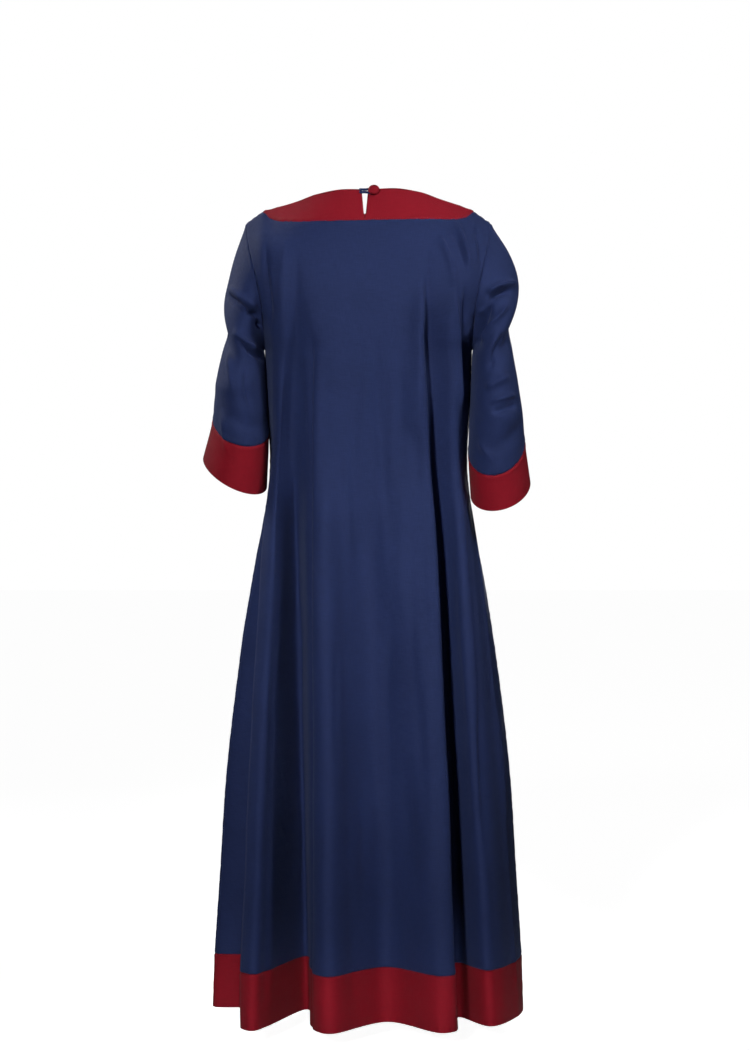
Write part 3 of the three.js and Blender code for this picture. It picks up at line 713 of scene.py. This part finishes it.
# Creases seen from behind and from the front, in the same columns as the body's
SLEEVE_CREASES = {
    "left": {
        "back": [
            (236, -140, 178, -183, 4, 3.1, 3.1, -15.1, 0.2, 0.15),
            (236, -126, 182, -168, 3, 4.6, 4.6, 8.2, 0.2, 0.2),
            (188, -189, 172, -197, 0, 3.8, 3.8, -16.4, 0.4, 0.3),
            (222, -212, 170, -254, 5, 3.1, 3.8, -9.9, 0.3, 0.2),
            (226, -200, 176, -240, 5, 5.4, 5.4, 7.2, 0.3, 0.3),
            (234, -230, 222, -316, 0, 6.1, 6.1, 6.5, 0.4, 0.4),
            (206, -250, 190, -350, 3, 7.7, 5.4, -6, 0.4, 0.4),
            (244, -330, 232, -420, 0, 5.4, 6.8, 4.4, 0.4, 0.4),
        ],
        "front": [
            (238, -120, 184, -176, 4, 5.3, 5.3, -5.5, 0.2, 0.2),
            (236, -180, 176, -214, 5, 6.4, 6.4, 4.1, 0.3, 0.2),
            (240, -236, 180, -262, 6, 6.4, 7.6, -4.6, 0.3, 0.2),
            (232, -262, 196, -352, 0, 9.5, 9.5, 3.2, 0.4, 0.4),
        ],
    },
    "right": {
        "back": [
            (-250, -122, -192, -143, 3, 4.6, 4.6, 10.9, 0.2, 0.25),
            (-240, -138, -196, -158, 4, 5.4, 5.4, -13.7, 0.3, 0.3),
            (-209, -148, -180, -244, 4, 5.4, 5.4, -10.9, 0.3, 0.25),
            (-238, -150, -184, -232, 2, 5.4, 5.4, 9.9, 0.3, 0.25),
            (-195, -168, -178, -174, 0, 2.2, 3.1, 8.2, 0.3, 0.2),
            (-236, -200, -196, -276, 3, 5.4, 5.4, -8.2, 0.3, 0.3),
            (-236, -276, -192, -303, 0, 6.1, 6.1, 7.7, 0.3, 0.3),
            (-248, -309, -198, -326, 0, 3.8, 3.8, 8.2, 0.3, 0.3),
            (-250, -326, -200, -342, 0, 4.6, 4.6, -6.5, 0.3, 0.3),
            (-182, -380, -206, -424, 0, 6.1, 6.1, 4.9, 0.4, 0.4),
        ],
        "front": [
            (-246, -126, -188, -164, 4, 6.4, 6.4, 5.5, 0.2, 0.2),
            (-240, -146, -186, -190, 4, 6.4, 6.4, -6, 0.3, 0.2),
            (-236, -196, -182, -246, 4, 7.6, 7.6, 4.3, 0.3, 0.3),
            (-240, -262, -192, -300, 3, 7.6, 6.4, -4.1, 0.3, 0.3),
            (-242, -330, -200, -352, 0, 7.6, 7.6, 3.6, 0.3, 0.4),
        ],
    },
}
CAP_SHARE = 0.42
UNDERARM_ARCH = {"out": 1.6, "up": 4, "sharpness": 6}
SLEEVE_SEAM, SLEEVE_END = 5, 6
ARMHOLE_MARKS = [0, 0.5, 1, 1.5, 2, 3, 4, 4.5, 5, 5.5, 6]
SLEEVE_COLUMNS = 168


def ring_points(ring, side, angles):
    ring = dict(zip(RING_COLUMNS, ring))
    out, back = math.radians(ring["tilt_out"]), math.radians(ring["tilt_back"])
    across = ring["half_width"] * np.cos(angles)
    deep = ring["half_depth"] * np.sin(angles)
    x = side * (ring["x"] + across * math.cos(out))
    y = ring["y"] + deep * math.cos(back)
    z = ring["z"] + across * math.sin(out) - deep * math.sin(back)
    return np.column_stack([x, y, z])


def sleeve_rows(sleeve, rows, angles):
    """The sleeve's points: each column runs from the armhole through the cap and the rings of the arm."""
    side = sleeve["side"]
    marks = np.arange(len(ARMHOLE_MARKS) * 2 - 1)
    levels = np.array(ARMHOLE_MARKS + [2 * UNDERARM - mark for mark in ARMHOLE_MARKS[-2::-1]])
    turn = np.interp(angles / (2 * np.pi) * marks[-1], marks, levels)
    start = through(armhole_loop(side), turn, closed=True)
    rings = [ring_points(ring, side, angles) for ring in sleeve["rings"]]
    cap = start + (rings[0] - start) * CAP_SHARE
    over = np.cos(angles / 2) ** 2
    under = np.sin(angles / 2) ** UNDERARM_ARCH["sharpness"]
    cap[:, 0] += side * (sleeve["cap_bulge"] * over + UNDERARM_ARCH["out"] * under)
    cap[:, 2] += sleeve["cap_rise"] * over + UNDERARM_ARCH["up"] * under
    lines = np.array([start, cap, *rings])
    grid = np.array([through(lines[:, column], rows) for column in range(len(angles))])
    grid = np.transpose(grid, (1, 0, 2))
    for round_arm, down, spread, width, slope, height in sleeve["puffs"]:
        off_turn = np.mod(np.degrees(angles) - round_arm + 180, 360) - 180
        off_down = rows[:, None] - down - slope * off_turn[None, :]
        lift = height * np.exp(-((off_turn / spread) ** 2)[None, :] - (off_down / width) ** 2)
        grid[:, :, 0] += side * lift * np.cos(angles)
        grid[:, :, 1] += lift * np.sin(angles)
    return grid


def sleeve_surface(name, rows, sewn_below):
    """The outer surface of a sleeve or cuff, with its creases and seams."""
    sleeve = SLEEVES[name]
    angles = np.arange(SLEEVE_COLUMNS) / SLEEVE_COLUMNS * 2 * np.pi
    points = sleeve_rows(sleeve, rows, angles)
    normals = surface_normals(points, True, sleeve["side"] > 0)
    x, z = points[:, :, 0], points[:, :, 2]
    heights = np.zeros(x.shape)
    for face, facing in OUTWARD.items():
        shown = smoothstep(0, 0.6, facing * normals[:, :, 1])
        heights += crease_heights(SLEEVE_CREASES[name][face], x, z) * shown
    down = lengths_down(points)
    across = lengths_across(points)
    heights *= smoothstep(0, SEAM_FADE["sleeve"], down)
    heights += seam_shape(down) + puckers(down, across, 8)
    if sewn_below:
        heights += seam_shape(down[-1:] - down) + puckers(down[-1:] - down, across, 8)
    return points + normals * (SKIN + heights)[:, :, None]


def tube_threads(points):
    """Thread directions of a tube in metres, with one more column where its seam closes."""
    closed = np.concatenate([points, points[:, :1]], axis=1)
    across = lengths_across(closed)
    down = np.broadcast_to(lengths_down(closed).mean(axis=1, keepdims=True), across.shape)
    return np.dstack([across - across[:, -1:] / 2, -down]) / 1000


def sleeve_row_places(first, last, length, step):
    distances = fine_ends(length, step)
    return first + distances / length * (last - first)


SLEEVE_STEP = 2.8
SLEEVE_LENGTHS = {"left": 340, "right": 372}
CUFF_DEPTH = 84
SLEEVE_CLOTH, CUFF_CLOTH = 1.1, 1.9
for name in SLEEVES:
    flip = SLEEVES[name]["side"] > 0
    rows = sleeve_row_places(0, SLEEVE_SEAM, SLEEVE_LENGTHS[name], SLEEVE_STEP)
    outer = sleeve_surface(name, rows, sewn_below=True)
    sleeve = cloth_object(f"sleeve_{name}_cloth", outer, tube_threads(outer), flip, wraps=True)
    thicken(sleeve, navy_cotton, SLEEVE_CLOTH)
    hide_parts(f"sleeve_{name}")
    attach(sleeve, "root")
    rows = sleeve_row_places(SLEEVE_SEAM, SLEEVE_END, CUFF_DEPTH, SLEEVE_STEP)
    outer = sleeve_surface(name, rows, sewn_below=False)
    cuff = cloth_object(f"cuff_{name}_cloth", outer, tube_threads(outer), flip, wraps=True)
    thicken(cuff, red_cotton, CUFF_CLOTH)
    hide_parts(f"cuff_{name}")
    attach(cuff, "root")
    STITCH_LINES[f"cuff_{name}"] = stitch_line(outer, closed=True)


# Neck bands: deep red cotton, double, cut as a boat-shaped yoke and sewn to the panels' neck seam. The back
# one is open at the top in a narrow keyhole slit at its middle.
NECK_EDGE = {
    "back": [(0, 58, 33), (48, 55, 34), (90, 44, 27.5), (120, 33, 17.5), (154, 20, 9), (173, 12, 4)],
    "front": [(0, -79, -52), (50, -76, -47), (98, -60, -31), (136, -32, -13), (160, -7, -1), (173, 12, 4)],
}
NECK_EDGE_X = 173
SLIT = {"x": 6, "top": 11, "foot": 3, "down": 0.82, "spread": 16}
BAND_DEPTH = {"back": 60, "front": 58}
BAND_STEP = {"down": 2.2, "across": 2.9}
BAND_CLOTH = 1.8


def slit_half(down):
    """Half the slit's width at a share of the band's depth, with a round foot."""
    straight = SLIT["top"] + (SLIT["foot"] - SLIT["top"]) * down / SLIT["down"]
    round_foot = np.sqrt(np.clip((SLIT["down"] - down) / 0.03, 0, 1))
    return straight / 2 * round_foot


def neck_band_surface(face):
    half = np.linspace(-1, 1, int(2 * NECK_POINT_X / BAND_STEP["across"]) // 2 * 2 + 1)
    x = half * NECK_POINT_X
    if face == "back":
        left, right = x[x < SLIT["x"] - 1], x[x > SLIT["x"] + 1]
        x = np.concatenate([left, [SLIT["x"], SLIT["x"]], right])
    x = x[::-1]
    down = fine_ends(BAND_DEPTH[face], BAND_STEP["down"]) / BAND_DEPTH[face]
    if face == "back":
        down = np.sort(np.concatenate([down, [SLIT["down"] - 0.02, SLIT["down"] - 0.008, SLIT["down"]]]))
    foot = neck_line(NECK_SEAM[face], x)
    grid = []
    for share in down:
        moved = x.copy()
        if face == "back":
            from_slit = x - SLIT["x"]
            middle = np.flatnonzero(from_slit == 0)
            from_slit[middle[0]], from_slit[middle[1]] = 1e-6, -1e-6
            moved += np.sign(from_slit) * slit_half(share) * np.exp(-((from_slit / SLIT["spread"]) ** 2))
        head = neck_line(NECK_EDGE[face], moved * NECK_EDGE_X / NECK_POINT_X)
        foot = neck_line(NECK_SEAM[face], moved)
        grid.append(head + (foot - head) * share)
    points = np.array(grid)
    gap = None
    if face == "back":
        gap = np.zeros((len(down) - 1, len(x) - 1), bool)
        gap[down[1:] <= SLIT["down"] + 1e-9, int(np.flatnonzero(x == SLIT["x"])[0])] = True
    return points, gap


for face in ("back", "front"):
    points, gap = neck_band_surface(face)
    normals = surface_normals(points, False, face == "back")
    down, across = lengths_down(points), lengths_across(points)
    to_foot = down[-1:] - down
    heights = seam_shape(to_foot) + puckers(to_foot, across, 5) - 0.5 * np.exp(-((down / 1.2) ** 2))
    outer = points + normals * (SKIN + heights)[:, :, None]
    band = cloth_object(
        f"neck_band_{face}_cloth", outer, thread_map(outer, outer.shape[1] // 2), face == "back", gap=gap
    )
    thicken(band, red_cotton, BAND_CLOTH)
    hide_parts(f"neck_band_{face}")
    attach(band, "root")
    STITCH_LINES[f"neck_{face}"] = stitch_line(outer, from_foot=True)


# Button: a dome covered in the band's red cotton, gathered under its rim, on a thread shank. It sits
# beside the slit's top, on the wearer's right, and closes it.
BUTTON = {"x": -9.5, "down": 0.085, "radius": 9.5, "shank": 2.4, "shank_height": 3.6, "dome": 5.6}
BUTTON_OFF = 1.05
# The dome from under its rim to its crown, as shares of its radius and height
DOME = [
    (0.0, 0.1), (0.6, 0.06), (0.88, 0.02), (0.99, 0.12), (1.0, 0.26), (0.95, 0.45), (0.84, 0.66),
    (0.66, 0.83), (0.44, 0.94), (0.2, 0.985), (0.0, 1.0),
]
DOME_ROWS, DOME_SIDES, SHANK_SIDES = 41, 102, 24
GATHERS = {"count": 17, "depth": 0.22, "height": 1.2, "spread": 1.8, "drift": 0.6, "drifts": 3}


def band_frame(x, down):
    """A point on the outer face of the back neck band, and the directions across it, up it and out of it."""
    foot = neck_line(NECK_SEAM["back"], x)[0]
    head = neck_line(NECK_EDGE["back"], x * NECK_EDGE_X / NECK_POINT_X)[0]
    up = (head - foot) / np.linalg.norm(head - foot)
    across = np.array([1.0, 0.0, 0.0])
    out = np.cross(up, across)
    out /= np.linalg.norm(out)
    return head + (foot - head) * down + out * BUTTON_OFF, across, up, out


def lathe_object(name, profile, centre, across, up, out, sides, gathers):
    """A closed turned form on the band, with its cloth drawn into small gathers near the rim."""
    turn = np.arange(sides) / sides * 2 * np.pi
    grid = []
    for radius, height in profile:
        drawn = gathers * math.exp(-(((height - GATHERS["height"]) / GATHERS["spread"]) ** 2))
        drawn = drawn * np.sin(turn * GATHERS["count"] + GATHERS["drift"] * np.sin(turn * GATHERS["drifts"]))
        reach = max(radius, 0.02) * (1 + drawn / max(radius, 1))
        ring = np.outer(np.cos(turn) * reach, across) + np.outer(np.sin(turn) * reach, up)
        grid.append(centre + ring + out * height)
    grid = np.array(grid)
    local = grid - centre
    flat = np.dstack([local @ across, local @ up]) / 1000
    threads = np.concatenate([flat, flat[:, :1]], axis=1)
    return cloth_object(name, grid, threads, flip=True, wraps=True)


point, across, up, out = band_frame(BUTTON["x"], BUTTON["down"])
fine = through(DOME, np.linspace(0, len(DOME) - 1, DOME_ROWS))
dome_heights = BUTTON["shank_height"] + fine[:, 1] * BUTTON["dome"]
dome_profile = np.column_stack([fine[:, 0] * BUTTON["radius"], dome_heights])
foot = BUTTON["shank"]
shank_profile = [(0.0, 0.0), (foot, 0.0), (foot * 0.85, 1.8), (foot, 4.4), (0.0, 4.5)]
dome = lathe_object("button_dome", dome_profile, point, across, up, out, DOME_SIDES, GATHERS["depth"])
shank = lathe_object("button_shank", shank_profile, point, across, up, out, SHANK_SIDES, 0)
for piece in (dome, shank):
    piece.data.materials.append(red_cotton)
    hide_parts("button")
    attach(piece, "root")


# Button loop: a flat cord plaited from navy thread, sewn down beside the slit and passed round the button's
# shank. Its two legs lie side by side across the slit.
LOOP = {"half_width": 2.6, "half_thickness": 1.25, "reach": 15, "legs": 2.8, "turn": 5.3, "pitch": 2.6}
LOOP_RINGS, LOOP_SIDES = 260, 24
start = LOOP["reach"] - BUTTON["x"]
angles = np.pi / 2 + np.pi * np.arange(7) / 6
path = [(start, LOOP["legs"]), (start / 2, LOOP["legs"])]
path += [(LOOP["turn"] * math.cos(angle), LOOP["turn"] * math.sin(angle)) for angle in angles]
path += [(start / 2, -LOOP["legs"]), (start, -LOOP["legs"])]
flat_path = through(path, np.linspace(0, len(path) - 1, LOOP_RINGS))
line = point + out * LOOP["half_thickness"]
line = line + np.outer(flat_path[:, 0], across) + np.outer(flat_path[:, 1], up)
along = np.concatenate([[0], np.cumsum(np.linalg.norm(np.diff(line, axis=0), axis=1))])
forward = np.gradient(line, axis=0)
forward /= np.linalg.norm(forward, axis=1, keepdims=True)
beside = np.cross(forward, out)
turn = np.arange(LOOP_SIDES) / LOOP_SIDES * 2 * np.pi
# The strands of the plait cross the cord slantwise, and meet along its middle
slant = along[:, None] / LOOP["pitch"] * 2 * np.pi + np.abs(np.cos(turn))[None, :] * 3.2
swell = 1 - 0.13 * (0.5 - 0.5 * np.cos(slant)) - 0.1 * np.exp(-((np.cos(turn) / 0.22) ** 2))[None, :]
swell[0] *= 0.5
swell[-1] *= 0.5
cord = line[:, None] + swell[:, :, None] * (
    (LOOP["half_thickness"] * np.sin(turn))[None, :, None] * out
    + (LOOP["half_width"] * np.cos(turn))[None, :, None] * beside[:, None]
)
wound = np.concatenate([turn, [2 * np.pi]]) * LOOP["half_width"] / 1000
cord_threads = np.dstack(np.broadcast_arrays(wound[None, :], along[:, None] / 1000))
loop = cloth_object("button_loop_cord", cord, cord_threads, flip=False, wraps=True)
loop.data.materials.append(navy_cotton)
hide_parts("button_loop")
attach(loop, "root")


# Stitches: one row of fine machine stitches in matching thread on each red band and cuff, 2.4 mm from the
# seam where it meets the navy cloth. They are laid by a Geometry Nodes group and kept as plain meshes.
STITCH = {"pitch": 3.2, "length": 2.5, "thickness": 0.42}


def thread_material(name, colour):
    material, _, shader = new_material(name)
    shader.inputs["Base Color"].default_value = (*colour, 1)
    shader.inputs["Roughness"].default_value = 0.7
    return material


def stitch_nodes(thread):
    """A group that lays short threads, dipping at both ends, along a line."""
    group = bpy.data.node_groups.new("stitch row", "GeometryNodeTree")
    face = group.interface
    face.new_socket("Line", in_out="INPUT", socket_type="NodeSocketGeometry")
    for measure in ("Pitch", "Length", "Thickness"):
        face.new_socket(measure, in_out="INPUT", socket_type="NodeSocketFloat")
    face.new_socket("Stitches", in_out="OUTPUT", socket_type="NodeSocketGeometry")
    given = node(group, "NodeGroupInput", (-900, 0))
    result = node(group, "NodeGroupOutput", (700, 0))
    curve = node(group, "GeometryNodeMeshToCurve", (-700, 0))
    points = node(group, "GeometryNodeResampleCurve", (-500, 0))
    points.mode = "LENGTH"
    tangent = node(group, "GeometryNodeInputTangent", (-500, -300))
    turn = node(group, "FunctionNodeAlignRotationToVector", (-300, -300))
    turn.axis = "Z"
    stitch = node(group, "GeometryNodeMeshUVSphere", (-500, -600))
    stitch.inputs["Segments"].default_value = 6
    stitch.inputs["Rings"].default_value = 4
    stitch.inputs["Radius"].default_value = 0.5
    size = node(group, "ShaderNodeCombineXYZ", (-300, -700))
    place = node(group, "GeometryNodeInstanceOnPoints", (-100, 0))
    whole = node(group, "GeometryNodeRealizeInstances", (100, 0))
    paint = node(group, "GeometryNodeSetMaterial", (300, 0))
    paint.inputs["Material"].default_value = thread
    for start, output, end, socket in (
        (given, "Line", curve, "Mesh"),
        (curve, "Curve", points, "Curve"),
        (given, "Pitch", points, "Length"),
        (tangent, "Tangent", turn, "Vector"),
        (given, "Thickness", size, 0),
        (given, "Thickness", size, 1),
        (given, "Length", size, 2),
        (points, "Curve", place, "Points"),
        (stitch, "Mesh", place, "Instance"),
        (turn, "Rotation", place, "Rotation"),
        (size, 0, place, "Scale"),
        (place, "Instances", whole, "Geometry"),
        (whole, "Geometry", paint, "Geometry"),
        (paint, "Geometry", result, "Stitches"),
    ):
        group.links.new(start.outputs[output], end.inputs[socket])
    return group


def stitch_object(name, line, group, pitch, length, thickness):
    """Lays a row of stitches along a line of points in millimetres, as one plain mesh."""
    edges = [(index, index + 1) for index in range(len(line) - 1)]
    mesh = bpy.data.meshes.new(name + " line")
    mesh.from_pydata((np.asarray(line) / 1000).tolist(), edges, [])
    guide = new_object(name + " guide", mesh)
    rows = guide.modifiers.new("stitches", "NODES")
    rows.node_group = group
    values = {"Pitch": pitch / 1000, "Length": length / 1000, "Thickness": thickness / 1000}
    for socket in group.interface.items_tree:
        if socket.name in values:
            rows[socket.identifier] = values[socket.name]
    made = guide.evaluated_get(bpy.context.evaluated_depsgraph_get())
    sewn = new_object(name, bpy.data.meshes.new_from_object(made))
    bpy.data.objects.remove(guide)
    sewn.data.polygons.foreach_set("use_smooth", [True] * len(sewn.data.polygons))
    return sewn


red_thread = thread_material("red thread", (0.13, 0.008, 0.014))
rows = stitch_nodes(red_thread)
for name, line in STITCH_LINES.items():
    sewn = stitch_object(f"{name}_stitches", line, rows, **STITCH)
    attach(sewn, "root")


# Stage: a plain pale floor under the hem and soft studio light, with the camera behind the gown as in the
# photograph
FLOOR_Z = -1.372
FLOOR_HALF = 30
FLOOR_GLOW, ROOM_LIGHT = 0.93, 0.016
floor_mesh = bpy.data.meshes.new("floor")
corners = [(x * FLOOR_HALF, y * FLOOR_HALF, FLOOR_Z) for x, y in ((-1, -1), (1, -1), (1, 1), (-1, 1))]
floor_mesh.from_pydata(corners, [], [(0, 1, 2, 3)])
floor = new_object("floor", floor_mesh)
pale, tree, paint = new_material("pale floor")
paint.inputs["Base Color"].default_value = (0.85, 0.85, 0.85, 1)
paint.inputs["Roughness"].default_value = 0.9
paint.inputs["Emission Color"].default_value = (1, 1, 1, 1)
ray = node(tree, "ShaderNodeLightPath", (-500, -200))
glow = math_node(tree, "MULTIPLY", ray.outputs["Is Camera Ray"], FLOOR_GLOW, (-300, -200))
tree.links.new(glow, paint.inputs["Emission Strength"])
floor_mesh.materials.append(pale)

scene = bpy.context.scene
world = bpy.data.worlds.new("studio")
scene.world = world
world.use_nodes = True
tree = world.node_tree
room = tree.nodes["Background"]
room.inputs["Color"].default_value = (1, 1, 1, 1)
room.inputs["Strength"].default_value = ROOM_LIGHT
backdrop = node(tree, "ShaderNodeBackground", (0, -200))
backdrop.inputs["Color"].default_value = (1, 1, 1, 1)
seen = node(tree, "ShaderNodeLightPath", (-200, 200))
either = node(tree, "ShaderNodeMixShader", (200, 0))
tree.links.new(seen.outputs["Is Camera Ray"], either.inputs[0])
tree.links.new(room.outputs[0], either.inputs[1])
tree.links.new(backdrop.outputs[0], either.inputs[2])
tree.links.new(either.outputs[0], tree.nodes["World Output"].inputs["Surface"])

LAMPS = [
    # place, point it is aimed at, width and height of the lamp, spread in degrees, power in watts
    ("key", (0.65, 3.3, 0.35), (-0.08, 0, -0.56), (0.2, 1.5), 27, 4.6),
    ("side", (-2.1, 1.3, 1.3), (-0.1, 0, -0.05), (0.5, 0.5), 44, 3.6),
    ("fill", (-1.0, 4.0, 0.4), (0, 0, -0.5), (1.4, 1.4), 160, 1.0),
    ("low", (-0.2, 3.2, -1.28), (0, 0, -1.32), (1.0, 0.08), 7, 0.26),
]
# The same lamps, turned half round the gown, light its front
for face, turned in (("", 1), ("front ", -1)):
    for name, place, target, size, spread, power in LAMPS:
        light = bpy.data.lights.new(face + name, "AREA")
        light.shape = "RECTANGLE"
        light.size, light.size_y = size
        light.spread = math.radians(spread)
        light.energy = power
        lamp = new_object(face + name, light)
        lamp.location = (place[0] * turned, place[1] * turned, place[2])
        aim = (np.array(target) - np.array(place)) * (turned, turned, 1)
        flat = math.hypot(aim[0], aim[1])
        pitch = math.pi / 2 + math.atan2(aim[2], flat)
        lamp.rotation_euler = (pitch, 0, math.atan2(aim[1], aim[0]) - math.pi / 2)
sky = bpy.data.lights.new("overhead", "SUN")
sky.energy = 0.15
sky.angle = math.radians(70)
overhead = new_object("overhead", sky)
overhead.location = (0, 0, 3)

CAMERA = {"x": -0.011, "y": 4.5, "z": -0.527}
IMAGE_HEIGHT = 1050
FOCAL_PIXELS = 2663
SENSOR = 36
view = bpy.data.cameras.new("camera")
view.sensor_fit = "VERTICAL"
view.sensor_height = SENSOR
view.lens = SENSOR * FOCAL_PIXELS / IMAGE_HEIGHT
camera = new_object("camera", view)
camera.location = (CAMERA["x"], CAMERA["y"], CAMERA["z"])
camera.rotation_euler = (math.pi / 2, 0, math.pi)
scene.camera = camera
scene.view_settings.view_transform = "Standard"
